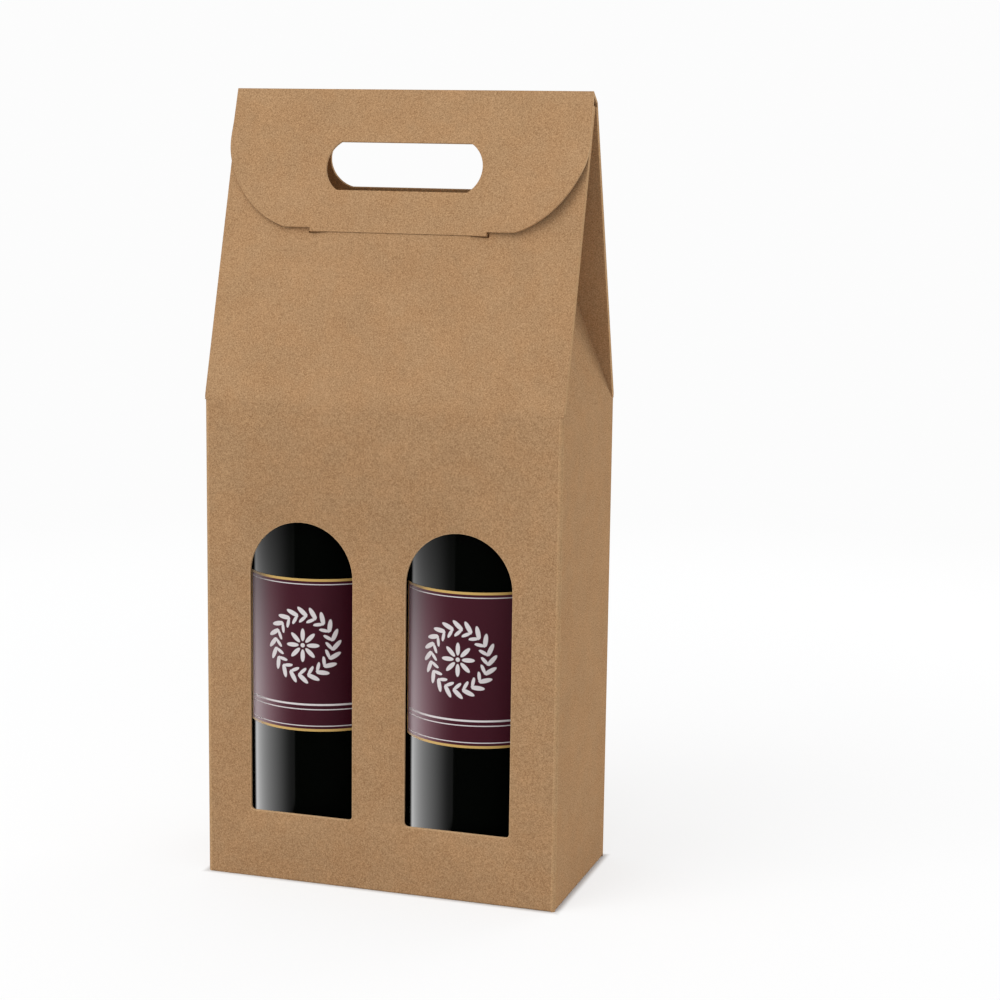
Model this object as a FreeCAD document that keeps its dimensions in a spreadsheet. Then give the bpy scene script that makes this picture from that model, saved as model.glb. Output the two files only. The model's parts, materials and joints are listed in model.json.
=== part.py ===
# Gift carton for two bottles: a folded board box with a gable roof, a lid flap
# that tucks into the front, and two sealed bottles behind arched windows.
# Millimetres. Origin at the middle of the base, +Z up, the windows face -Y.
import FreeCAD, Part
import math
import os
import Sketcher

SIZES = {
    # the folded board, and the room that it leaves round the bottles
    "board": 1.5,
    "cell_play": 12.75,
    "depth_play": 12.0,
    "shoulder_play": 1.08,
    "roof_rise": 143.0,
    "edge_round": 2.0,
    "ridge_gap": 0.3,
    "fold_gap": 0.15,
    "fold_layers": 2.1,
    "roof_trim": 1.6,
    "roof_cut": 10.0,
    # the windows
    "window_margin": 23.3,
    "window_width": 53.2,
    "window_foot": 34.0,
    "window_spring": 153.0,
    "window_corner": 2.0,
    # the carrying hole
    "handle_drop": 33.1,
    "handle_width": 79.0,
    "handle_height": 23.8,
    "handle_end": 14.0,
    "handle_margin": 2.0,
    "rear_handle_drop": 31.0,
    "rear_handle_width": 94.0,
    "rear_handle_height": 25.2,
    "rear_handle_end": 13.0,
    # the lid
    "lid_gap": 0.4,
    "lid_rise": 4.65,
    "hinge_gap": 0.3,
    "flap_straight": 20.4,
    "flap_corner": 45.0,
    "flap_drop": 63.4,
    "tab_drop": 65.4,
    "tab_width": 89.0,
    "tab_reach": 7.0,
    "slit_play": 0.5,
    # the base and the glued seam
    "base_step": 9.0,
    "base_seam": 0.4,
    "base_inset": 0.8,
    "side_flap": 60.0,
    "side_flap_cut": 24.0,
    "tongue_half": 20.0,
    "seam_flap": 14.0,
    "seam_trim": 12.0,
    # the divider
    "divider_height": 212.0,
    "divider_play": 0.3,
    "flange_margin": 2.2,
    "rear_flange": 20.0,
    # the bottles
    "bottle_radius": 37.5,
    "barrel_height": 187.0,
    "neck_length": 67.41,
    "heel": 3.0,
    "shoulder_round": 32.0,
    "shoulder_turn": 36.0,
    "neck_round": 8.0,
    "neck_radius": 13.8,
    "lip_radius": 14.9,
    "lip_height": 17.0,
    "bottle_play": 0.3,
    "left_front_play": 3.0,
    "right_side_play": 0.75,
    "right_front_play": 2.0,
    # what is on the bottles
    "label_foot": 72.0,
    "label_height": 76.0,
    "label_wrap_angle": 112.0,
    "left_label_angle": 5.5,
    "right_label_angle": 0.0,
    "label_paper": 0.2,
    "label_gap": 0.15,
    "capsule_length": 60.0,
    "capsule_foil": 0.3,
    "capsule_gap": 0.2,
}

document = FreeCAD.newDocument("bottle_carton")
sheet = document.addObject("Spreadsheet::Sheet", "sizes")
for row, (alias, value) in enumerate(SIZES.items(), start=1):
    sheet.set(f"A{row}", str(value))
    sheet.setAlias(f"A{row}", alias)
document.recompute()


# A length worked out from the sheet: its value now, and the formula that binds it.
class Size:
    def __init__(self, formula, value):
        self.formula = formula
        self.value = value

    def join(self, sign, other, value):
        return Size(f"({self.formula} {sign} {other.formula})", value)

    def __add__(self, other):
        other = as_size(other)
        return self.join("+", other, self.value + other.value)

    def __sub__(self, other):
        other = as_size(other)
        return self.join("-", other, self.value - other.value)

    def __mul__(self, other):
        other = as_size(other)
        return self.join("*", other, self.value * other.value)

    def __truediv__(self, other):
        other = as_size(other)
        return self.join("/", other, self.value / other.value)

    def __neg__(self):
        return Size(f"(-1 * {self.formula})", -self.value)


def as_size(number):
    return number if isinstance(number, Size) else Size(str(number), float(number))


def cell(alias):
    return Size(f"sizes.{alias}", float(sheet.get(alias)))


def root(size):
    return Size(f"sqrt({size.formula})", math.sqrt(size.value))


def cosine(size):
    return Size(f"cos({size.formula})", math.cos(math.radians(size.value)))


def sine(size):
    return Size(f"sin({size.formula})", math.sin(math.radians(size.value)))


def tangent(size):
    return Size(f"tan({size.formula})", math.tan(math.radians(size.value)))


def angle_of(run, rise):
    value = math.degrees(math.atan(run.value / rise.value))
    return Size(f"(atan({run.formula} / {rise.formula}) / 1deg)", value)


def new_body(name):
    body = document.addObject("PartDesign::Body", name)
    body.Label = name
    return body


def new_sketch(body, plane, name):
    sketch = body.newObject("Sketcher::SketchObject", f"{body.Name}_{name}")
    support = [item for item in body.Origin.OriginFeatures if item.Role == f"{plane}_Plane"][0]
    sketch.AttachmentSupport = [(support, "")]
    sketch.MapMode = "FlatFace"
    return sketch


def fix(sketch, axis, geometry, position, size):
    index = sketch.addConstraint(Sketcher.Constraint(f"Distance{axis}", -1, 1, geometry, position, size.value))
    sketch.setExpression(f"Constraints[{index}]", size.formula)


# One closed outline. corners are (x, y) sizes in order; arcs gives the centre and
# the way round, 1 or -1, of each side that is an arc, by its first corner's number.
def add_outline(sketch, corners, arcs=None):
    arcs = arcs or {}
    first = sketch.GeometryCount
    count = len(corners)
    points = [FreeCAD.Vector(x.value, y.value, 0) for x, y in corners]
    for i in range(count):
        start = points[i]
        end = points[(i + 1) % count]
        if i not in arcs:
            sketch.addGeometry(Part.LineSegment(start, end), False)
            continue
        centre = FreeCAD.Vector(arcs[i][0].value, arcs[i][1].value, 0)
        ends = [math.atan2(p.y - centre.y, p.x - centre.x) for p in (start, end)]
        if arcs[i][2] < 0:
            ends.reverse()
        circle = Part.Circle(centre, FreeCAD.Vector(0, 0, 1), (start - centre).Length)
        sketch.addGeometry(Part.ArcOfCircle(circle, ends[0], ends[1]), False)
    for i in range(count):
        after = (i + 1) % count
        meeting = (first + i, end_of(i, arcs), first + after, start_of(after, arcs))
        sketch.addConstraint(Sketcher.Constraint("Coincident", *meeting))
    for i, (x, y) in enumerate(corners):
        fix(sketch, "X", first + i, start_of(i, arcs), x)
        fix(sketch, "Y", first + i, start_of(i, arcs), y)
    for i, (x, y, way) in arcs.items():
        run = points[(i + 1) % count] - points[i]
        if abs(run.y) >= abs(run.x):
            fix(sketch, "X", first + i, 3, x)
        else:
            fix(sketch, "Y", first + i, 3, y)


def start_of(i, arcs):
    return 2 if i in arcs and arcs[i][2] < 0 else 1


def end_of(i, arcs):
    return 1 if i in arcs and arcs[i][2] < 0 else 2


def pad(body, sketch, length, both_ways=False, reverse=False):
    feature = body.newObject("PartDesign::Pad", f"{sketch.Name}_pad")
    feature.Profile = sketch
    return finish_feature(feature, length, both_ways, reverse)


def pocket(body, sketch, length, both_ways=False, reverse=False):
    before = body.Shape.Volume
    feature = body.newObject("PartDesign::Pocket", f"{sketch.Name}_pocket")
    feature.Profile = sketch
    finish_feature(feature, length, both_ways, reverse)
    if feature.Shape.Volume >= before:
        raise RuntimeError(f"{feature.Name} cuts nothing")
    return feature


def finish_feature(feature, length, both_ways, reverse):
    feature.Type = "Length"
    feature.SideType = "Symmetric" if both_ways else "One side"
    feature.Reversed = reverse
    feature.setExpression("Length", length.formula)
    document.recompute()
    return feature


# Mirrors a list of corners across the sketch's upright axis, kept in the same turn.
def mirrored(corners):
    return [(-x, y) for x, y in reversed(corners)]


# The bottle: a round barrel, a shoulder that turns in, a short straight slope, a
# hollow up to the neck, and a lip at the top.
radius = cell("bottle_radius")
turn_radius = cell("shoulder_round")
turn = cell("shoulder_turn")
turn_in = as_size(1) - cosine(turn)
bend_x = radius - turn_radius * turn_in
bend_z = cell("barrel_height") + turn_radius * sine(turn)
neck_round = cell("neck_round")
hollow_x = cell("neck_radius") + neck_round * turn_in
hollow_z = bend_z + (bend_x - hollow_x) / tangent(turn)
neck_foot = hollow_z + neck_round * sine(turn)
bottle_height = neck_foot + cell("neck_length")
lip_foot = bottle_height - cell("lip_height")

# The carton is cut to the bottles: two cells side by side, and a roof that starts
# where their necks do. Two layers of board make the base.
board = cell("board")
base_face = board * 2
bottle_foot = base_face + cell("bottle_play")
cell_width = radius * 2 + cell("cell_play")
width = cell_width * 2 + board * 3
depth = radius * 2 + cell("depth_play") + board * 2
shoulder = bottle_foot + neck_foot + cell("shoulder_play")
roof_top = shoulder + cell("roof_rise")
half_width = width / 2
half_depth = depth / 2
inner_width = half_width - board
inner_depth = half_depth - board
window_half = cell("window_width") / 2
window_place = half_width - cell("window_margin") - window_half

# The roof panels lean in from the shoulder crease to the ridge.
ridge_half = cell("fold_layers") * board + cell("ridge_gap") / 2
run = half_depth - ridge_half
rise = cell("roof_rise")
slant = root(run * run + rise * rise)
lean_sin = run / slant
lean_cos = rise / slant
lean = angle_of(run, rise)


# A point in the side view: drop is measured down the slope from the roof's top,
# inset inward from the front roof panel's outer face.
def roof_point(drop, inset):
    drop = as_size(drop)
    inset = as_size(inset)
    y = inset * lean_cos - ridge_half - drop * lean_sin
    z = roof_top - drop * lean_cos - inset * lean_sin
    return y, z


# A sketch laid on the outer face of the front or the rear roof panel, its origin
# on the roof's top line, x along the ridge and y up the slope.
def roof_sketch(body, name, rear=False):
    sketch = new_sketch(body, "XZ", name)
    sketch.AttachmentOffset = FreeCAD.Placement(FreeCAD.Vector(), FreeCAD.Rotation(FreeCAD.Vector(1, 0, 0), 1))
    sketch.setExpression("AttachmentOffset.Base.y", roof_top.formula)
    if rear:
        sketch.setExpression("AttachmentOffset.Base.z", (-ridge_half).formula)
        sketch.setExpression("AttachmentOffset.Rotation.Angle", lean.formula)
    else:
        sketch.setExpression("AttachmentOffset.Base.z", ridge_half.formula)
        sketch.setExpression("AttachmentOffset.Rotation.Angle", (-lean).formula)
    return sketch


# The carrying hole: two straight edges and two bowed ends.
def handle_outline(sketch, drop, half_long, half_high, end_radius):
    centre = half_long - end_radius
    straight = centre + root(end_radius * end_radius - half_high * half_high)
    top = half_high - drop
    bottom = -half_high - drop
    corners = [(-straight, bottom), (straight, bottom), (straight, top), (-straight, top)]
    add_outline(sketch, corners, {1: (centre, -drop, 1), 3: (-centre, -drop, 1)})


# The side view of the strip that the lid folds on: along from the rear crease
# towards the front crease, inset below its outer face.
lid_face = cell("lid_gap") + board
strip_run = ridge_half * 2 - cell("lid_rise") * lean_sin + lid_face * lean_cos
strip_rise = cell("lid_rise") * lean_cos + lid_face * lean_sin
strip_length = root(strip_run * strip_run + strip_rise * strip_rise)
strip_angle = angle_of(strip_run, strip_rise)
rear_mitre = board * tangent((strip_angle - lean) / 2)
front_mitre = board / tangent((strip_angle + lean) / 2)


def strip_point(along, inset):
    along = as_size(along)
    inset = as_size(inset)
    y = ridge_half - (along * strip_run + inset * strip_rise) / strip_length
    z = roof_top + (along * strip_rise - inset * strip_run) / strip_length
    return y, z


def make_carton():
    body = new_body("carton")

    # The four walls, with their upright creases rounded.
    walls = new_sketch(body, "XY", "walls")
    rounded_box(walls, half_width, half_depth, cell("edge_round"))
    rounded_box(walls, inner_width, inner_depth, cell("edge_round") - board)
    pad(body, walls, shoulder)

    # The half gussets, folded flat against the inside of both roof panels. The
    # board between the two slanting creases is cut away.
    second_face = board
    third_face = board * 2 + cell("fold_gap")
    trim = cell("roof_trim")
    layers = new_sketch(body, "YZ", "layers")
    layer = [
        roof_point(slant, second_face),
        roof_point(slant, third_face),
        roof_point(trim, third_face),
        roof_point(trim, second_face),
    ]
    add_outline(layers, layer)
    add_outline(layers, mirrored(layer))
    pad(body, layers, width, both_ways=True)

    # The gusset's middle triangle leans in from the side wall's top crease. Its
    # point is at half the depth from the end of the ridge.
    gusset_slant = root(half_depth * half_depth + rise * rise)
    gusset_level = board * gusset_slant / rise
    gusset_top = roof_point(trim, third_face)[1]
    gusset_reach = half_depth * (gusset_top - shoulder) / rise
    fold_in = new_sketch(body, "XZ", "fold_in")
    low = half_width - gusset_level
    high = half_width - gusset_reach - gusset_level
    above = roof_top + board
    add_outline(fold_in, [
        (-low, shoulder), (low, shoulder), (high, gusset_top),
        (high, above), (-high, above), (-high, gusset_top),
    ])
    pocket(body, fold_in, depth, both_ways=True)

    middle = new_sketch(body, "XZ", "middle")
    triangle = [
        (low, shoulder),
        (half_width, shoulder),
        (half_width - gusset_reach, gusset_top),
        (high, gusset_top),
    ]
    add_outline(middle, triangle)
    add_outline(middle, mirrored(triangle))
    pad(body, middle, depth, both_ways=True)

    trim_sides = new_sketch(body, "YZ", "trim_sides")
    outside = [
        (-depth, shoulder),
        (board / lean_cos - half_depth, shoulder),
        roof_point(0, second_face),
        (-depth, roof_point(0, second_face)[1]),
    ]
    add_outline(trim_sides, outside)
    add_outline(trim_sides, mirrored(outside))
    pocket(body, trim_sides, width, both_ways=True)

    # The roof panels, mitred at the shoulder crease and at the rear top crease.
    roof = new_sketch(body, "YZ", "roof")
    crease_drop = board * (slant - rise) / run
    front = [
        (-half_depth, shoulder - crease_drop),
        (board - half_depth, shoulder - crease_drop),
        roof_point(trim, board),
        roof_point(trim, 0),
        (-half_depth, shoulder),
    ]
    rear = [
        (-half_depth, shoulder - crease_drop),
        (board - half_depth, shoulder - crease_drop),
        roof_point(rear_mitre, board),
        roof_point(0, 0),
        (-half_depth, shoulder),
    ]
    add_outline(roof, front)
    add_outline(roof, mirrored(rear))
    pad(body, roof, width, both_ways=True)

    # A hairline between each roof panel and the half gusset folded against it,
    # open all the way except at the fold itself.
    hairline = new_sketch(body, "YZ", "hairline")
    gap_face = board + cell("fold_gap")
    gap = [
        roof_point(slant - gap_face * 2, board),
        roof_point(slant - gap_face * 2, gap_face),
        roof_point(0, gap_face),
        roof_point(0, board),
    ]
    add_outline(hairline, gap)
    add_outline(hairline, mirrored(gap))
    pocket(body, hairline, width - board * 2, both_ways=True)

    make_base(body)

    # The glued seam flap inside the left wall.
    seam = new_sketch(body, "XY", "seam")
    seam_x = -inner_width
    seam_y = inner_depth
    add_outline(seam, [
        (seam_x, seam_y - cell("seam_flap")),
        (seam_x + board, seam_y - cell("seam_flap")),
        (seam_x + board, seam_y),
        (seam_x, seam_y),
    ])
    seam.setExpression("AttachmentOffset.Base.z", cell("seam_trim").formula)
    pad(body, seam, shoulder - cell("seam_trim") * 2)

    # The two arched windows in the front wall.
    windows = new_sketch(body, "XZ", "windows")
    for side in (-1, 1):
        arched_window(windows, window_place * side)
    pocket(body, windows, depth, reverse=True)

    # The carrying hole in both roof panels and the slit that takes the lid's tab.
    half_long = cell("handle_width") / 2
    half_high = cell("handle_height") / 2
    end_radius = cell("handle_end")
    margin = cell("handle_margin")
    front_hole = roof_sketch(body, "front_hole")
    wider = (half_long + margin, half_high + margin, end_radius + margin)
    handle_outline(front_hole, cell("handle_drop"), *wider)
    pocket(body, front_hole, cell("roof_cut"), both_ways=True)
    rear_hole = roof_sketch(body, "rear_hole", rear=True)
    rear_long = cell("rear_handle_width") / 2
    rear_high = cell("rear_handle_height") / 2
    handle_outline(rear_hole, cell("rear_handle_drop"), rear_long, rear_high, cell("rear_handle_end"))
    pocket(body, rear_hole, cell("roof_cut"), both_ways=True)
    slit = roof_sketch(body, "slit")
    slit_half = cell("tab_width") / 2 + cell("slit_play") * 2
    slit_top = board - cell("tab_drop") + cell("slit_play")
    slit_bottom = -cell("tab_drop") - cell("slit_play")
    add_outline(slit, [
        (-slit_half, slit_bottom), (slit_half, slit_bottom),
        (slit_half, slit_top), (-slit_half, slit_top),
    ])
    pocket(body, slit, cell("roof_cut"), both_ways=True)
    return body


def rounded_box(sketch, half_long, half_deep, radius):
    x = half_long - radius
    y = half_deep - radius
    corners = [
        (-x, -half_deep), (x, -half_deep), (half_long, -y), (half_long, y),
        (x, half_deep), (-x, half_deep), (-half_long, y), (-half_long, -y),
    ]
    arcs = {1: (x, -y, 1), 3: (x, y, 1), 5: (-x, y, 1), 7: (-x, -y, 1)}
    add_outline(sketch, corners, arcs)


def arched_window(sketch, centre):
    foot = cell("window_foot")
    spring = cell("window_spring")
    corner = cell("window_corner")
    left = centre - window_half
    right = centre + window_half
    corners = [
        (left + corner, foot), (right - corner, foot), (right, foot + corner),
        (right, spring), (left, spring), (left, foot + corner),
    ]
    arcs = {
        1: (right - corner, foot + corner, 1),
        3: (centre, spring, 1),
        5: (left + corner, foot + corner, 1),
    }
    add_outline(sketch, corners, arcs)


# The base: the front and rear flaps lie outermost and hook into each other along
# a stepped line; the side flaps and the locking tongue lie on them, inside.
def make_base(body):
    step = cell("base_step")
    seam = cell("base_seam") / 2
    reach = half_width - cell("base_inset")

    under = new_sketch(body, "XY", "under")
    front_edge = [
        (-inner_width, -inner_depth), (inner_width, -inner_depth), (inner_width, -step - seam),
        (-seam, -step - seam), (-seam, step - seam), (-inner_width, step - seam),
    ]
    rear_edge = [
        (inner_width, inner_depth), (-inner_width, inner_depth), (-inner_width, step + seam),
        (seam, step + seam), (seam, seam - step), (inner_width, seam - step),
    ]
    add_outline(under, front_edge)
    add_outline(under, rear_edge)
    pad(body, under, board)

    over = new_sketch(body, "XY", "over")
    inner_end = inner_width - cell("side_flap")
    cut = cell("side_flap_cut")
    flap = [
        (inner_width, -inner_depth), (inner_width, inner_depth),
        (inner_end, inner_depth - cut), (inner_end, cut - inner_depth),
    ]
    add_outline(over, flap)
    add_outline(over, mirrored(flap))
    over.setExpression("AttachmentOffset.Base.z", board.formula)
    pad(body, over, board)

    tongue = new_sketch(body, "XY", "tongue")
    half_long = cell("tongue_half")
    half_deep = step * 2
    add_outline(tongue, [
        (-half_long, -half_deep), (half_long, -half_deep),
        (half_long, half_deep), (-half_long, half_deep),
    ])
    tongue.setExpression("AttachmentOffset.Base.z", board.formula)
    pad(body, tongue, board)

    # The side walls turn in one board higher, above the ends of the outer flaps.
    heel = new_sketch(body, "XY", "heel")
    for side in (-1, 1):
        near = reach * side
        far = (half_width + board) * side
        corners = [(near, -inner_depth), (far, -inner_depth), (far, inner_depth), (near, inner_depth)]
        add_outline(heel, corners)
    pocket(body, heel, board, reverse=True)


def make_lid():
    body = new_body("lid")
    gap = cell("lid_gap")
    rise_up = -cell("lid_rise")
    tab_drop = cell("tab_drop")
    profile = new_sketch(body, "YZ", "profile")
    add_outline(profile, [
        strip_point(cell("hinge_gap"), 0),
        roof_point(rise_up, -lid_face),
        roof_point(tab_drop, -lid_face),
        roof_point(tab_drop, -gap),
        roof_point(rise_up + front_mitre, -gap),
        strip_point(rear_mitre + cell("hinge_gap"), board),
    ])
    pad(body, profile, width, both_ways=True)

    # The flap's rounded corners and straight lower edges, on each side of the tab.
    outline = roof_sketch(body, "outline")
    corner = cell("flap_corner")
    straight = cell("flap_straight")
    drop = cell("flap_drop")
    tab_half = cell("tab_width") / 2
    centre = half_width - corner
    fall = drop - straight
    arc_end = centre + root(corner * corner - fall * fall)
    beyond = half_width + board
    below = tab_drop + board
    for side in (-1, 1):
        corners = [
            (half_width * side, -straight),
            (arc_end * side, -drop),
            (tab_half * side, -drop),
            (tab_half * side, -below),
            (beyond * side, -below),
            (beyond * side, -straight),
        ]
        add_outline(outline, corners, {0: (centre * side, -straight, -side)})
    pocket(body, outline, cell("roof_cut"), both_ways=True)

    # The tab is creased inward through the slit.
    tab = new_sketch(body, "YZ", "tab")
    tip = board + cell("tab_reach")
    add_outline(tab, [
        roof_point(tab_drop - board, -lid_face),
        roof_point(tab_drop, -lid_face),
        roof_point(tab_drop, tip),
        roof_point(tab_drop - board, tip),
    ])
    pad(body, tab, cell("tab_width"), both_ways=True)

    hole = roof_sketch(body, "hole")
    half_long = cell("handle_width") / 2
    half_high = cell("handle_height") / 2
    handle_outline(hole, cell("handle_drop"), half_long, half_high, cell("handle_end"))
    pocket(body, hole, cell("roof_cut"), both_ways=True)
    return body


# A board folded into a Z, glued to the front wall between the windows and to the
# rear wall, so that the bottles do not touch.
def make_divider():
    body = new_body("divider")
    plan = new_sketch(body, "XY", "plan")
    half = board / 2
    front = window_place - window_half - cell("flange_margin")
    rear = half - cell("rear_flange")
    near = -inner_depth
    far = inner_depth
    add_outline(plan, [
        (-half, near), (front, near), (front, near + board), (half, near + board),
        (half, far), (rear, far), (rear, far - board), (-half, far - board),
    ])
    plan.setExpression("AttachmentOffset.Base.z", (base_face + cell("divider_play")).formula)
    pad(body, plan, cell("divider_height"))
    return body


# A sealed bottle with high round shoulders and a straight neck.
def make_bottle(name):
    body = new_body(name)
    profile = new_sketch(body, "XZ", "profile")
    heel = cell("heel")
    barrel = cell("barrel_height")
    neck = cell("neck_radius")
    lip = cell("lip_radius")
    corners = [
        (as_size(0), as_size(0)),
        (radius - heel, as_size(0)),
        (radius, heel),
        (radius, barrel),
        (bend_x, bend_z),
        (hollow_x, hollow_z),
        (neck, neck_foot),
        (neck, lip_foot),
        (lip, lip_foot),
        (lip, bottle_height),
        (as_size(0), bottle_height),
    ]
    arcs = {
        3: (radius - turn_radius, barrel, 1),
        5: (neck + neck_round, neck_foot, -1),
    }
    add_outline(profile, corners, arcs)
    revolve(body, profile, as_size(360), both_ways=False)
    return body


def revolve(body, sketch, angle, both_ways):
    feature = body.newObject("PartDesign::Revolution", f"{sketch.Name}_turn")
    feature.Profile = sketch
    feature.ReferenceAxis = (sketch, ["V_Axis"])
    feature.Midplane = both_ways
    feature.setExpression("Angle", angle.formula)
    document.recompute()
    return feature


# The paper label, wrapped round the front of the barrel.
def make_label(name):
    body = new_body(name)
    profile = new_sketch(body, "YZ", "profile")
    near = radius + cell("label_gap")
    far = near + cell("label_paper")
    foot = cell("label_foot")
    top = foot + cell("label_height")
    add_outline(profile, [(-far, foot), (-near, foot), (-near, top), (-far, top)])
    revolve(body, profile, cell("label_wrap_angle"), both_ways=True)
    return body


# The foil capsule, a straight sleeve closed at the top, drawn over the lip and neck.
def make_capsule(name):
    body = new_body(name)
    profile = new_sketch(body, "XZ", "profile")
    gap = cell("capsule_gap")
    foil = cell("capsule_foil")
    foot = bottle_height - cell("capsule_length")
    near = cell("lip_radius") + gap
    under_top = bottle_height + gap
    zero = as_size(0)
    add_outline(profile, [
        (zero, under_top),
        (near, under_top),
        (near, foot),
        (near + foil, foot),
        (near + foil, under_top + foil),
        (zero, under_top + foil),
    ])
    revolve(body, profile, as_size(360), both_ways=False)
    return body


def stand(bodies, x, y):
    for body in bodies:
        body.setExpression("Placement.Base.x", x.formula)
        body.setExpression("Placement.Base.y", y.formula)
        body.setExpression("Placement.Base.z", bottle_foot.formula)


make_carton()
make_lid()
make_divider()
inside_front = board + radius - half_depth
places = {
    "left": (-(board + cell_width) / 2, inside_front + cell("left_front_play")),
    "right": (board / 2 + cell("right_side_play") + radius, inside_front + cell("right_front_play")),
}
for side, (x, y) in places.items():
    label = make_label(f"label_{side}")
    stand([make_bottle(f"bottle_{side}"), label, make_capsule(f"capsule_{side}")], x, y)
    label.Placement.Rotation = FreeCAD.Rotation(FreeCAD.Vector(0, 0, 1), 1)
    label.setExpression("Placement.Rotation.Angle", cell(f"{side}_label_angle").formula)
document.recompute()

for item in document.Objects:
    if "Invalid" in item.State or "Error" in item.State:
        raise RuntimeError(f"{item.Name} failed: {item.State}")
bodies = [item for item in document.Objects if item.TypeId == "PartDesign::Body"]
for body in bodies:
    if body.Shape.isNull() or not body.Shape.isValid() or len(body.Shape.Solids) != 1:
        raise RuntimeError(f"{body.Label} is not one valid solid")

os.makedirs("parts", exist_ok=True)
for body in bodies:
    body.Shape.exportStep(f"parts/{body.Label}.step")
    print(f"{body.Label}: {body.Shape.Volume:.0f} mm3, {len(body.Shape.Faces)} faces")
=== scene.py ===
# A gift carton of kraft board for two bottles: a folded box with a gable roof, a
# lid flap that tucks into the front, and sealed bottles behind arched windows.
# Metres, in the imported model's own frame.
import json
import math

import bmesh
import bpy
from mathutils import Matrix, Vector

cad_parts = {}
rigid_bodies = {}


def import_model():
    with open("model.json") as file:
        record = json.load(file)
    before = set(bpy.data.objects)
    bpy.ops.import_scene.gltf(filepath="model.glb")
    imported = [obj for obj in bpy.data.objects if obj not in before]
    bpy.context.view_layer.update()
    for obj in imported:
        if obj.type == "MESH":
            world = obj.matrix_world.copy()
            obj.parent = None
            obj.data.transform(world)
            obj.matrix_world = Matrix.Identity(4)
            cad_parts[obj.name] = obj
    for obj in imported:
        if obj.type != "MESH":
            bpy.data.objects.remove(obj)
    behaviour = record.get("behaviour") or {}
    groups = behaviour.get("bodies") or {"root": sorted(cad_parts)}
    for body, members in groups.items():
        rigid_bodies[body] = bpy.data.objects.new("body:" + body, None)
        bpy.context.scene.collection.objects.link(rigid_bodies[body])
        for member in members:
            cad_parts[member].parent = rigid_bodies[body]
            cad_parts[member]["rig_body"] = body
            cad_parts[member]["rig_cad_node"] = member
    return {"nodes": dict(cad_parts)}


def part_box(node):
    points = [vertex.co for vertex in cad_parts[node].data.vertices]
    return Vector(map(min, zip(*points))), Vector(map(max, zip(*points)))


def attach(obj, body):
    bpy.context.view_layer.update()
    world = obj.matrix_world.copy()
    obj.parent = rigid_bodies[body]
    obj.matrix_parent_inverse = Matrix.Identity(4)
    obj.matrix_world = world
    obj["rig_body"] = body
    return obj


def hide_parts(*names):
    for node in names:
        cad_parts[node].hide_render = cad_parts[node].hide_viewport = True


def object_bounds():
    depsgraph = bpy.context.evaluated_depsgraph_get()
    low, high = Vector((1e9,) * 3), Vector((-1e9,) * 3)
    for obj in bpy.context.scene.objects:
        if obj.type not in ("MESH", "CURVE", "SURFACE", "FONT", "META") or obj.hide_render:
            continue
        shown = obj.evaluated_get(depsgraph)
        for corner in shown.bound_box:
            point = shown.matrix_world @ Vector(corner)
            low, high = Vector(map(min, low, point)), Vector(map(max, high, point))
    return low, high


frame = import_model()
cad_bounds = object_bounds()
MM = 0.001


# Camera: it stands to the right of the front and a little above the box, as in
# the photograph. The lens is long, and the camera leans by less than a degree.
camera_azimuth = math.radians(17.61)
camera_elevation = math.radians(9.54)
camera_lean = math.radians(0.79)
camera_distance = 1079.19 * MM
camera_aim = Vector((45.75, 0, 189.15)) * MM
camera_lens = 79.89
camera_sensor = 36.0

level = math.cos(camera_elevation)
across = math.sin(camera_azimuth) * level
back = Vector((across, -math.cos(camera_azimuth) * level, math.sin(camera_elevation)))
side = Vector((math.cos(camera_azimuth), math.sin(camera_azimuth), 0))
upward = back.cross(side)
camera_x = side * math.cos(camera_lean) + upward * math.sin(camera_lean)
camera_y = upward * math.cos(camera_lean) - side * math.sin(camera_lean)
bpy.ops.object.camera_add()
camera = bpy.context.object
camera.data.lens = camera_lens
camera.data.sensor_width = camera_sensor
camera.data.clip_end = 100
turn = Matrix((camera_x, camera_y, back)).transposed().to_4x4()
camera.matrix_world = Matrix.Translation(camera_aim + back * camera_distance) @ turn
bpy.context.scene.camera = camera
bpy.context.scene.view_settings.view_transform = "Standard"


# Studio: a white room with a pale floor, a large soft light on the left of the front,
# one overhead and a smaller one behind on the right. The floor and the world look white
# to the camera and in glass. The floor keeps a faint shadow. In a thin band round the base
# it drops its glow, so the real shadow shows full there, darkened further by painted shade.
def new_material(name):
    material = bpy.data.materials.new(name)
    material.use_nodes = True
    return material


def empty_tree(owner):
    owner.use_nodes = True
    owner.node_tree.nodes.clear()
    return owner.node_tree


def add_node(tree, kind, **inputs):
    node = tree.nodes.new("ShaderNode" + kind)
    for name, value in inputs.items():
        node.inputs[name.replace("_", " ")].default_value = value
    return node


def math_node(tree, operation, first, second=0.0, third=None):
    node = tree.nodes.new("ShaderNodeMath")
    node.operation = operation
    for socket, value in zip(node.inputs, (first, second, third)):
        if isinstance(value, (int, float)):
            socket.default_value = value
        elif value is not None:
            tree.links.new(value, socket)
    return node.outputs[0]


# Eases from first to last while the value goes from start to end.
def ease(tree, value, start, end, first=0.0, last=1.0):
    node = tree.nodes.new("ShaderNodeMapRange")
    node.interpolation_type = "SMOOTHSTEP"
    for socket, amount in zip(node.inputs[1:5], (start, end, first, last)):
        socket.default_value = amount
    tree.links.new(value, node.inputs[0])
    return node.outputs[0]


def object_axes(tree):
    place = tree.nodes.new("ShaderNodeTexCoord")
    split = tree.nodes.new("ShaderNodeSeparateXYZ")
    tree.links.new(place.outputs["Object"], split.inputs[0])
    return split.outputs


def length_of(tree, x, y):
    squares = math_node(tree, "ADD", math_node(tree, "POWER", x, 2.0), math_node(tree, "POWER", y, 2.0))
    return math_node(tree, "SQRT", squares)


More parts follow.
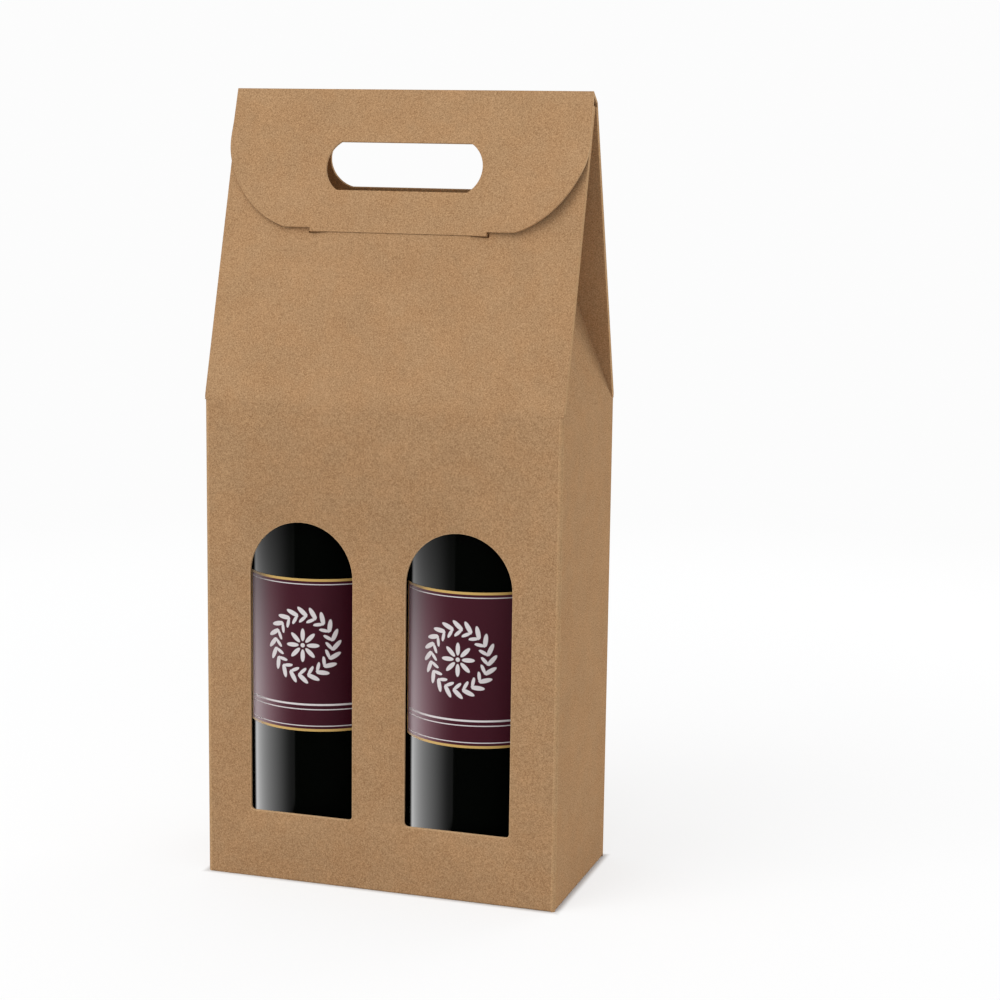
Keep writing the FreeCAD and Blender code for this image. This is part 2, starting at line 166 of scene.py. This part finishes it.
def seen_directly(tree):
    ray = tree.nodes.new("ShaderNodeLightPath").outputs
    in_glass = math_node(tree, "MAXIMUM", ray["Is Glossy Ray"], ray["Is Transmission Ray"])
    return math_node(tree, "MAXIMUM", ray["Is Camera Ray"], in_glass)


def blend(tree, output_kind, share, first, second):
    choice = tree.nodes.new("ShaderNodeMixShader")
    output = tree.nodes.new(output_kind)
    tree.links.new(share, choice.inputs[0])
    tree.links.new(first.outputs[0], choice.inputs[1])
    tree.links.new(second.outputs[0], choice.inputs[2])
    tree.links.new(choice.outputs[0], output.inputs[0])


def deselect_all():
    bpy.ops.object.select_all(action="DESELECT")


backdrop_white = 0.975
room_light = 0.72
world = bpy.data.worlds.new("studio")
bpy.context.scene.world = world
tree = empty_tree(world)
room = add_node(tree, "Background", Color=(0.98, 0.99, 1.0, 1), Strength=room_light)
white = add_node(tree, "Background", Color=(1, 1, 1, 1), Strength=backdrop_white)
blend(tree, "ShaderNodeOutputWorld", seen_directly(tree), room, white)

shadow_share = 0.4
near_glow = 1.15
near_reach = 0.35
far_reach = 1.1
contact_shade_width = 3.5 * MM
bpy.ops.mesh.primitive_plane_add(size=60, location=(0, 0, cad_bounds[0].z))
floor = bpy.context.object
floor.name = "floor"
material = new_material("floor")
tree = empty_tree(material)
axes = object_axes(tree)
from_box = length_of(tree, axes[0], axes[1])
paint = add_node(tree, "BsdfDiffuse", Color=(0.72, 0.72, 0.72, 1))
glow = add_node(tree, "Emission", Color=(1, 1, 1, 1))
glow_power = ease(tree, from_box, near_reach, far_reach, near_glow, backdrop_white)
tree.links.new(glow_power, glow.inputs["Strength"])
glow_share = ease(tree, from_box, near_reach, far_reach, 1 - shadow_share, 1.0)
# Painted contact shade: in a band round the footprint the floor drops its glow and shows only its darker
# diffuse paint, on top of the real shadow there.
beside = math_node(tree, "SUBTRACT", math_node(tree, "ABSOLUTE", axes[0]), cad_bounds[1].x)
before = math_node(tree, "SUBTRACT", math_node(tree, "ABSOLUTE", axes[1]), cad_bounds[1].y)
contact_shade = ease(tree, math_node(tree, "MAXIMUM", beside, before), 0.0, contact_shade_width)
glow_share = math_node(tree, "MULTIPLY", glow_share, contact_shade)
glow_share = math_node(tree, "MULTIPLY", seen_directly(tree), glow_share)
blend(tree, "ShaderNodeOutputMaterial", glow_share, paint, glow)
floor.data.materials.append(material)

lamp_target = Vector((0, 0, 0.2))


def softbox(name, place, size, power):
    bpy.ops.object.light_add(type="AREA", location=place)
    lamp = bpy.context.object
    lamp.name = name
    lamp.data.shape = "RECTANGLE"
    lamp.data.size = size[0]
    lamp.data.size_y = size[1]
    lamp.data.energy = power
    aim = lamp_target - Vector(place)
    lamp.rotation_euler = aim.to_track_quat("-Z", "Y").to_euler()
    lamp.visible_camera = False


softbox("key_light", (-0.8, -1.3, 1.7), (1.2, 1.2), 10.5)
softbox("top_light", (-0.35, -0.9, 2.2), (1.6, 1.2), 13.5)
softbox("fill_light", (0.95, 1.6, 0.25), (0.8, 0.5), 12.0)

# Studio cards that only mirrors see. A black one lies on the floor, and beside each
# bottle stands a thin one that is bright on its right face and draws the highlight down
# the bottle's left.
def hide_from_all_but_mirrors(card):
    card.visible_camera = False
    card.visible_diffuse = False
    card.visible_shadow = False


def emitter(name):
    material = new_material(name)
    tree = empty_tree(material)
    glow = add_node(tree, "Emission", Color=(1, 1, 1, 1), Strength=0.0)
    output = tree.nodes.new("ShaderNodeOutputMaterial")
    tree.links.new(glow.outputs[0], output.inputs[0])
    return material, tree, glow.inputs["Strength"]


# The bright face is dimmest at its front edge, and ends where the bottle begins.
card_size = (0.002, 0.167, 0.2)
card_middle = (-0.0435, 0.102)
card_aside = 0.042
card_front = card_middle[0] - card_size[1] / 2
bright_end = -0.022
dimmest = 0.25
brightest = 3.9
black_card = emitter("black_card")[0]
bright_card, tree, strength = emitter("bright_card")
axes = object_axes(tree)
inward = math_node(tree, "POWER", ease(tree, axes[1], card_front, bright_end + 0.002), 2.2)
shine = math_node(tree, "MULTIPLY_ADD", inward, brightest, dimmest)
shine = math_node(tree, "MULTIPLY", shine, ease(tree, axes[1], bright_end - 0.004, bright_end, 1.0, 0.0))
shine = math_node(tree, "MULTIPLY", shine, ease(tree, axes[2], 0.0, 0.01, 0.4, 1.0))
shine = math_node(tree, "MULTIPLY", shine, ease(tree, axes[2], 0.07, 0.185, 1.0, 0.2))
tree.links.new(shine, strength)

deselect_all()
bpy.ops.mesh.primitive_plane_add(size=2.4, location=(0, -0.85, 0.001))
card = bpy.context.object
card.name = "floor_card"
card.data.materials.append(black_card)
hide_from_all_but_mirrors(card)
for number, bottle_node in enumerate(("bottle_left", "bottle_right")):
    low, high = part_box(bottle_node)
    deselect_all()
    bpy.ops.mesh.primitive_cube_add(size=1)
    card = bpy.context.object
    card.name = f"standing_card_{number + 1}"
    bpy.ops.object.mode_set(mode="EDIT")
    bpy.ops.transform.resize(value=card_size)
    bpy.ops.transform.translate(value=((low.x + high.x) / 2 - card_aside, *card_middle))
    bpy.ops.object.mode_set(mode="OBJECT")
    card.data.materials.append(black_card)
    card.data.materials.append(bright_card)
    for face in card.data.polygons:
        face.material_index = 1 if face.normal.x > 0.5 else 0
    hide_from_all_but_mirrors(card)


# Carton: one sheet of brown micro-corrugated board, cut, creased, folded and glued
# at the seam. The kraft liner shows fine fibres and its cuts are paler. Its upright creases
# are coated paler too: painted highlight where the rounded creases catch the light.
def mixed(tree, factor, first, second, kind="MIX"):
    mix = tree.nodes.new("ShaderNodeMix")
    mix.data_type = "RGBA"
    mix.blend_type = kind
    for socket, value in zip((mix.inputs[0], mix.inputs[6], mix.inputs[7]), (factor, first, second)):
        if isinstance(value, (tuple, float)):
            socket.default_value = value
        else:
            tree.links.new(value, socket)
    return mix.outputs[2]


def kraft(name, pale, dark):
    material = new_material(name)
    tree = material.node_tree
    shader = tree.nodes["Principled BSDF"]
    place = tree.nodes.new("ShaderNodeTexCoord")

    def cloud(scale, detail, stretch=None):
        noise = add_node(tree, "TexNoise", Scale=scale, Detail=detail, Roughness=0.6)
        source = place.outputs["Object"]
        if stretch:
            mapping = add_node(tree, "Mapping", Scale=stretch, Rotation=(0.3, 0.5, 0.2))
            tree.links.new(source, mapping.inputs["Vector"])
            source = mapping.outputs[0]
        tree.links.new(source, noise.inputs["Vector"])
        return noise.outputs["Fac"]

    specks = cloud(1500, 3)
    fibres = cloud(1900, 2, (1, 0.3, 1.5))
    mottle = cloud(45, 4)
    hue = cloud(75, 2)
    grain = math_node(tree, "MULTIPLY_ADD", specks, 1.9, -0.95)
    threads = math_node(tree, "MULTIPLY_ADD", fibres, 1.6, -0.8)
    patches = math_node(tree, "MULTIPLY_ADD", mottle, 0.3, 0.35)
    both = math_node(tree, "ADD", grain, threads)
    total = math_node(tree, "ADD", both, patches)
    total = math_node(tree, "MINIMUM", math_node(tree, "MAXIMUM", total, 0.0), 1.0)
    tone = mixed(tree, total, (*dark, 1), (*pale, 1))
    cast = mixed(tree, ease(tree, hue, 0.35, 0.65), (1.01, 0.995, 0.98, 1), (0.99, 1.005, 1.02, 1))
    tree.links.new(mixed(tree, 1.0, tone, cast, "MULTIPLY"), shader.inputs["Base Color"])
    rough = math_node(tree, "MULTIPLY_ADD", mottle, 0.2, 0.72)
    tree.links.new(rough, shader.inputs["Roughness"])
    shader.inputs["Specular IOR Level"].default_value = 0.0
    bump = add_node(tree, "Bump", Strength=0.4, Distance=0.00008)
    tree.links.new(both, bump.inputs["Height"])
    tree.links.new(bump.outputs[0], shader.inputs["Normal"])
    return material


liner = kraft("kraft_liner", pale=(0.550, 0.337, 0.177), dark=(0.283, 0.156, 0.074))
# Painted highlight: a paler kraft for the rounded upright creases and the roof panels' ends.
crease_highlight = kraft("kraft_crease_highlight", pale=(0.60, 0.375, 0.20), dark=(0.36, 0.21, 0.10))
cut_edge = kraft("kraft_cut_edge", pale=(0.66, 0.43, 0.24), dark=(0.42, 0.255, 0.13))


# A CAD node is loose triangles, so a copy of it is merged before it is shaped.
def merged_copy(node, name):
    deselect_all()
    piece = frame["nodes"][node].copy()
    piece.data = piece.data.copy()
    piece.name = name
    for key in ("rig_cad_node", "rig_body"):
        del piece[key]
    piece.parent = None
    bpy.context.scene.collection.objects.link(piece)
    piece.data.materials.clear()
    bpy.context.view_layer.objects.active = piece
    piece.select_set(True)
    bpy.ops.mesh.customdata_custom_splitnormals_clear()
    bpy.ops.object.mode_set(mode="EDIT")
    bpy.ops.mesh.select_all(action="SELECT")
    bpy.ops.mesh.remove_doubles(threshold=0.002 * MM)
    bpy.ops.mesh.dissolve_limited(angle_limit=math.radians(0.5))
    bpy.ops.mesh.select_all(action="DESELECT")
    bpy.ops.object.mode_set(mode="OBJECT")
    return piece


def choose_faces(piece, wanted):
    bpy.context.view_layer.objects.active = piece
    bpy.ops.object.mode_set(mode="EDIT")
    bpy.ops.mesh.select_mode(type="FACE")
    bpy.ops.mesh.select_all(action="DESELECT")
    mesh = bmesh.from_edit_mesh(piece.data)
    for face in mesh.faces:
        if wanted(face.calc_center_median(), face.normal):
            face.select_set(True)
    bmesh.update_edit_mesh(piece.data)


def coat(piece, number, wanted):
    choose_faces(piece, wanted)
    piece.active_material_index = number
    bpy.ops.object.material_slot_assign()
    bpy.ops.object.mode_set(mode="OBJECT")


def cut_across(piece, wanted, point, normal):
    choose_faces(piece, wanted)
    bpy.ops.mesh.bisect(plane_co=point, plane_no=normal)
    bpy.ops.object.mode_set(mode="OBJECT")


def smooth(piece, degrees):
    deselect_all()
    piece.select_set(True)
    bpy.context.view_layer.objects.active = piece
    bpy.ops.object.shade_smooth_by_angle(angle=math.radians(degrees))


def smoothstep(value, start, end):
    share = min(max((value - start) / (end - start), 0.0), 1.0)
    return share * share * (3 - 2 * share)


board = 1.5 * MM
hair = 0.02 * MM
slack = 0.05 * MM
low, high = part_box("carton")
half_width = high.x
half_depth = high.y
roof_top = high.z
shoulder = 237.0 * MM
ridge_half = 3.3 * MM
lean = math.atan2(half_depth - ridge_half, roof_top - shoulder)
roof_out = Vector((0, -math.cos(lean), math.sin(lean)))
roof_down = Vector((0, -math.sin(lean), -math.cos(lean)))
roof_start = Vector((0, -ridge_half, roof_top))
gusset_lean = half_depth / (roof_top - shoulder)


# How far down the front roof's slope a point lies, and how far out from the panel.
def on_roof(point):
    away = point - roof_start
    return away.dot(roof_down), away.dot(roof_out)


carton = merged_copy("carton", "folded_carton")
for material in (liner, crease_highlight, cut_edge):
    carton.data.materials.append(material)

# The creases at the shoulder are soft bends: the sheet is cut in bands beside them,
# and the middle of each bend is eased inwards.
for offset in (-4.0, -3.0, -1.5, 1.5, 3.0, 4.0):
    cut_across(carton, lambda at, way: True, (0, 0, shoulder + offset * MM), (0, 0, 1))
ease_in = {0.0: 0.21, 1.5: 0.055}
for vertex in carton.data.vertices:
    off = abs(vertex.co.z - shoulder)
    for band, amount in ease_in.items():
        if abs(off - band * MM) > hair:
            continue
        above = max(vertex.co.z - shoulder, 0)
        if abs(abs(vertex.co.y) - half_depth + above * math.tan(lean)) < slack:
            vertex.co.y -= math.copysign(amount * MM, vertex.co.y)
        if abs(abs(vertex.co.x) - half_width + above * gusset_lean) < slack:
            vertex.co.x -= math.copysign(amount * MM, vertex.co.x)

# The slit's lower lip stands a little off the slope, where the tab pushes it out.
lip_drop = 65.9 * MM
lip_half = 45.4 * MM
lip_end = 90 * MM
lip_out = 1.5 * MM
lip_down = 0.4 * MM


def on_panel(at, way):
    drop, out = on_roof(at)
    return at.y < 0 and -board * 1.2 < out < board * 0.2 and drop > 0


for drop in (69.0, 73.0, 78.0, 84.0, 90.0):
    cut_across(carton, on_panel, roof_start + roof_down * drop * MM, roof_down)
for x in (45.4, 41.0, 35.0, 26.0, 13.0, 0.0, -13.0, -26.0, -35.0, -41.0, -45.4):
    cut_across(carton, on_panel, (x * MM, 0, 0), (1, 0, 0))
for vertex in carton.data.vertices:
    if vertex.co.y > -ridge_half:
        continue
    drop, out = on_roof(vertex.co)
    if drop < lip_drop - slack or not -board * 1.2 < out < board * 0.2:
        continue
    along = smoothstep(lip_half - abs(vertex.co.x), 0.0, 12 * MM)
    down = 1 - smoothstep(drop, lip_drop, lip_end)
    vertex.co += roof_out * lip_out * along * down
    if drop < lip_drop + slack:
        vertex.co -= roof_down * lip_down * along

# The windows' cut edges and the base creases are a little rounded.
cut_round = 0.3 * MM
crease_round = 1.2 * MM
corner = 2.2 * MM
rim_low = 30 * MM
rim_high = 182 * MM
hole_reach = 52 * MM
hole_top = 12 * MM
hole_foot = 50 * MM


def choose_edges(piece, wanted):
    bpy.context.view_layer.objects.active = piece
    bpy.ops.object.mode_set(mode="EDIT")
    bpy.ops.mesh.select_mode(type="EDGE")
    bpy.ops.mesh.select_all(action="DESELECT")
    mesh = bmesh.from_edit_mesh(piece.data)
    for edge in mesh.edges:
        if len(edge.link_faces) == 2 and edge.calc_face_angle(0) > 0.8:
            if all(wanted(end.co) for end in edge.verts):
                edge.select_set(True)
    bmesh.update_edit_mesh(piece.data)


def window_edge(at):
    on_face = abs(at.y + half_depth) < hair and abs(at.x) < half_width - 10 * MM
    return on_face and rim_low < at.z < rim_high


def base_crease(at):
    return abs(abs(at.y) - half_depth) < hair and at.z < hair


choose_edges(carton, window_edge)
bpy.ops.mesh.bevel(offset=cut_round, segments=2)
bpy.ops.object.mode_set(mode="OBJECT")
choose_edges(carton, base_crease)
bpy.ops.mesh.bevel(offset=crease_round, segments=4)
bpy.ops.object.mode_set(mode="OBJECT")


def upright_crease(at, way):
    outside = abs(at.x) > half_width - corner and abs(at.y) > half_depth - corner
    return outside and at.z < shoulder


def window_rim(at, way):
    in_wall = at.y < board - half_depth and abs(at.x) < half_width - corner * 2
    return abs(way.y) < 0.97 and in_wall and rim_low < at.z < rim_high


def roof_end(at, way):
    return abs(way.x) > 0.99 and abs(at.x) > half_width - board / 4 and at.z > shoulder + 2 * MM


def hole_rim(at, way):
    drop, out = on_roof(Vector((at.x, -abs(at.y), at.z)))
    in_hole = abs(at.x) < hole_reach and hole_top < drop < hole_foot
    flat = abs(Vector((way.x, -abs(way.y), way.z)).dot(roof_out))
    return in_hole and flat < 0.3 and abs(way.x) + abs(way.z) > 0.2


# Painted highlight: the upright creases get the paler crease kraft where they catch the light. The roof
# panels' cut ends get it too, as their paler cut tone together with painted highlight.
coat(carton, 1, upright_crease)
coat(carton, 1, roof_end)
coat(carton, 2, window_rim)
coat(carton, 2, hole_rim)
smooth(carton, 30)

# Mirrors see through the board, so that the glass shows the studio cards.
carton.visible_glossy = False
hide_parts("carton")
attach(carton, "box")


# Lid: the strip over the ridge and the front flap with its carrying hole and tab,
# part of the same sheet of board. Its right corner has sprung a little off the roof,
# and the flap spreads slightly where its straight sides end.
flap_spread = 0.8 * MM
flap_lift = 3.2 * MM
lid = merged_copy("lid", "lid_flap_board")
for material in (liner, crease_highlight, cut_edge):
    lid.data.materials.append(material)


def lower_end(at, way):
    return 60 * MM < on_roof(at)[0] < 63.6 * MM and way.dot(roof_down) > 0.7


coat(lid, 2, lambda at, way: abs(way.x) > 0.35)
coat(lid, 2, lower_end)
coat(lid, 2, lambda at, way: 15 * MM < on_roof(at)[0] < 50 * MM and abs(way.dot(roof_out)) < 0.3)


def on_flap(at, way):
    return on_roof(at)[0] > 2 * MM and on_roof(at)[1] > 0


for drop in (12.0, 18.0, 23.0, 28.0, 34.0, 40.0, 46.0, 52.0, 58.0):
    cut_across(lid, on_flap, roof_start + roof_down * drop * MM, roof_down)
for x in (52.0, 58.0, 64.0, 70.0, 76.0, 82.0, 87.0):
    cut_across(lid, on_flap, (x * MM, 0, 0), (1, 0, 0))
choose_faces(lid, on_flap)
bpy.ops.mesh.remove_doubles(threshold=0.25 * MM)
bpy.ops.object.mode_set(mode="OBJECT")
for vertex in lid.data.vertices:
    drop, out = on_roof(vertex.co)
    if drop < 2 * MM or out < 0:
        continue
    spread = smoothstep(drop, 4 * MM, 22 * MM) * (1 - smoothstep(drop, 24 * MM, 46 * MM))
    edge = smoothstep(abs(vertex.co.x), 78 * MM, half_width)
    vertex.co.x += math.copysign(flap_spread * spread * edge, vertex.co.x)
    lift = smoothstep(vertex.co.x, 48 * MM, 88 * MM) * smoothstep(drop, 4 * MM, 60 * MM)
    vertex.co += roof_out * flap_lift * lift
smooth(lid, 30)
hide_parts("lid")
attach(lid, "lid_flap")


# Divider: a strip of the same board, folded into a Z and glued between the bottles.
divider = frame["nodes"]["divider"]
divider.data.materials.clear()
divider.data.materials.append(liner)
divider.visible_glossy = False


# Bottles: sealed, of very dark green glass that looks black when full, with high
# round shoulders and a straight neck with a ring at its top.
def arc_points(centre, radius, first, last, steps):
    points = []
    for step in range(steps + 1):
        angle = math.radians(first + (last - first) * step / steps)
        points.append((centre[0] + radius * math.cos(angle), centre[1] + radius * math.sin(angle)))
    return points


# Draws a profile point by point from the axis, and spins it round the upright axis.
def lathed(name, profile, steps, place):
    deselect_all()
    bpy.ops.mesh.primitive_plane_add(size=MM, location=(0, 0, 0))
    piece = bpy.context.object
    piece.name = name
    bpy.ops.object.mode_set(mode="EDIT")
    bpy.ops.mesh.select_mode(type="VERT")
    bpy.ops.mesh.select_all(action="SELECT")
    bpy.ops.mesh.merge(type="CENTER")
    start = Vector((profile[0][0], 0, profile[0][1])) * MM
    bpy.ops.transform.translate(value=start)
    for before, after in zip(profile, profile[1:]):
        step = Vector((after[0] - before[0], 0, after[1] - before[1])) * MM
        bpy.ops.mesh.extrude_vertices_move(TRANSFORM_OT_translate={"value": step})
    bpy.ops.mesh.select_all(action="SELECT")
    bpy.ops.mesh.spin(steps=steps, angle=math.radians(360), center=(0, 0, 0), axis=(0, 0, 1))
    bpy.ops.mesh.select_all(action="SELECT")
    bpy.ops.mesh.remove_doubles(threshold=0.005 * MM)
    bpy.ops.mesh.normals_make_consistent(inside=False)
    bpy.ops.transform.translate(value=place)
    bpy.ops.object.mode_set(mode="OBJECT")
    smooth(piece, 35)
    return piece


glass = new_material("dark_glass")
shader = glass.node_tree.nodes["Principled BSDF"]
shader.inputs["Base Color"].default_value = (0.0012, 0.0016, 0.0012, 1)
shader.inputs["Roughness"].default_value = 0.09
shader.inputs["Specular IOR Level"].default_value = 0.4

bottle_profile = [(0, 0), (30, 0)]
bottle_profile += arc_points((33.5, 4.0), 4.0, -90, 0, 6)
bottle_profile += [(37.5, 60), (37.5, 120)]
bottle_profile += arc_points((5.5, 187.0), 32.0, 0, 36, 10)
bottle_profile += arc_points((21.8, 232.59), 8.0, 216, 180, 6)
bottle_profile += [(13.8, 260), (13.8, 282.4), (14.3, 283)]
bottle_profile += arc_points((13.9, 284.0), 1.0, -45, 0, 3)
bottle_profile += [(14.9, 298.6)]
bottle_profile += arc_points((13.5, 298.6), 1.4, 20, 90, 4)
bottle_profile += [(0, 300)]
sides = {}
for side_name in ("left", "right"):
    low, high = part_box(f"bottle_{side_name}")
    sides[side_name] = Vector(((low.x + high.x) / 2, (low.y + high.y) / 2, low.z))
    bottle = lathed(f"bottle_{side_name}_glass", bottle_profile, 128, sides[side_name])
    bottle.data.materials.append(glass)
    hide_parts(f"bottle_{side_name}")
    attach(bottle, "box")


# Labels: satin paper glued round the front of each bottle, printed maroon with a gold
# border, a thin white frame, a white wreath round a rosette, and two rules below.
label_long = 73.8
label_high = 76.0
label_foot = 72.0
label_arc = 112.0
label_radius = 37.7
wreath_middle = 43.0
label_turn = {"left": 5.5, "right": 0.0}
paper = new_material("label_paper")
tree = paper.node_tree
shader = tree.nodes["Principled BSDF"]
print_place = tree.nodes.new("ShaderNodeUVMap")
split = tree.nodes.new("ShaderNodeSeparateXYZ")
tree.links.new(print_place.outputs[0], split.inputs[0])
print_x = math_node(tree, "MULTIPLY_ADD", split.outputs[0], label_long, -label_long / 2)
print_y = math_node(tree, "MULTIPLY", split.outputs[1], label_high)
from_side = math_node(tree, "SUBTRACT", label_long / 2, math_node(tree, "ABSOLUTE", print_x))
from_end = math_node(tree, "SUBTRACT", label_high, print_y)
from_edge = math_node(tree, "MINIMUM", from_side, math_node(tree, "MINIMUM", print_y, from_end))


def line_at(value, place, thick):
    away = math_node(tree, "ABSOLUTE", math_node(tree, "SUBTRACT", value, place))
    return ease(tree, away, thick / 2, thick / 2 + 0.15, 1.0, 0.0)


# A ring of leaves: each is an ellipse, tilted from the spoke that it sits on.
def leaf_ring(ring, count, tilt, long, wide):
    spoke = math.radians(360) / count
    raised = math_node(tree, "SUBTRACT", print_y, wreath_middle)
    angle = math_node(tree, "ARCTAN2", raised, print_x)
    around = math_node(tree, "WRAP", angle, spoke / 2, -spoke / 2)
    distance = length_of(tree, print_x, raised)
    inward = math_node(tree, "MULTIPLY", distance, math_node(tree, "COSINE", around))
    out = math_node(tree, "SUBTRACT", inward, ring)
    aside = math_node(tree, "MULTIPLY", distance, math_node(tree, "SINE", around))
    cosine = math.cos(math.radians(tilt))
    sine = math.sin(math.radians(tilt))
    along = math_node(tree, "MULTIPLY_ADD", out, cosine, math_node(tree, "MULTIPLY", aside, sine))
    over = math_node(tree, "MULTIPLY_ADD", out, -sine, math_node(tree, "MULTIPLY", aside, cosine))
    along = math_node(tree, "DIVIDE", along, long / 2)
    over = math_node(tree, "DIVIDE", over, wide / 2)
    return ease(tree, length_of(tree, along, over), 0.9, 1.05, 1.0, 0.0)


in_frame = ease(tree, from_edge, 3.2, 3.3)
rules = math_node(tree, "MAXIMUM", line_at(print_y, 11.0, 0.35), line_at(print_y, 13.4, 0.8))
rules = math_node(tree, "MULTIPLY", rules, in_frame)
white_print = math_node(tree, "MAXIMUM", line_at(from_edge, 2.7, 0.3), rules)
wreath = ((16.5, 20, 48, 7.2, 2.3), (13.0, 20, -48, 5.2, 1.7))
rosette = ((5.2, 8, 0, 6.4, 2.2), (0.0, 1, 0, 2.2, 2.2))
for ring in wreath + rosette:
    white_print = math_node(tree, "MAXIMUM", white_print, leaf_ring(*ring))
gold_print = ease(tree, from_edge, 1.15, 1.3, 1.0, 0.0)

maroon = (0.052, 0.0045, 0.012, 1)
white_ink = (0.72, 0.68, 0.68, 1)
gold_ink = (0.62, 0.40, 0.12, 1)
colours = mixed(tree, white_print, maroon, white_ink)
colours = mixed(tree, gold_print, colours, gold_ink)
tree.links.new(colours, shader.inputs["Base Color"])
shader.inputs["Roughness"].default_value = 0.36
shader.inputs["Specular IOR Level"].default_value = 0.45
shader.inputs["Specular Tint"].default_value = (1.0, 0.72, 0.82, 1)
for side_name, turned_by in label_turn.items():
    deselect_all()
    bpy.ops.mesh.primitive_grid_add(x_subdivisions=64, y_subdivisions=2, size=1, calc_uvs=True)
    label = bpy.context.object
    label.name = f"label_{side_name}_paper"
    for vertex in label.data.vertices:
        angle = math.radians(vertex.co.x * label_arc + turned_by)
        height = label_foot + (vertex.co.y + 0.5) * label_high
        bent = Vector((math.sin(angle) * label_radius, -math.cos(angle) * label_radius, height)) * MM
        vertex.co = sides[side_name] + bent
    label.data.materials.append(paper)
    wall = label.modifiers.new("thickness", "SOLIDIFY")
    wall.thickness = 0.12 * MM
    wall.offset = -1
    bpy.ops.object.modifier_apply(modifier=wall.name)
    smooth(label, 35)
    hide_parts(f"label_{side_name}")
    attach(label, "box")


# Capsules: gold foil drawn over the neck and the ring at its top, smoothed down so
# that it hugs them, with a flat closed top.
foil = new_material("gold_foil")
shader = foil.node_tree.nodes["Principled BSDF"]
shader.inputs["Base Color"].default_value = (0.78, 0.55, 0.22, 1)
shader.inputs["Metallic"].default_value = 1.0
shader.inputs["Roughness"].default_value = 0.32
capsule_profile = [(14.05, 240.3), (14.35, 240.0), (14.35, 262), (14.35, 281.4), (14.75, 282.6)]
capsule_profile += arc_points((14.2, 284.2), 1.2, -50, 0, 3)
capsule_profile += [(15.4, 298.9)]
capsule_profile += arc_points((13.8, 298.9), 1.6, 15, 90, 5)
capsule_profile += [(0, 300.5)]
for side_name, place in sides.items():
    capsule = lathed(f"capsule_{side_name}_foil", capsule_profile, 96, place)
    capsule.data.materials.append(foil)
    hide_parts(f"capsule_{side_name}")
    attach(capsule, "box")
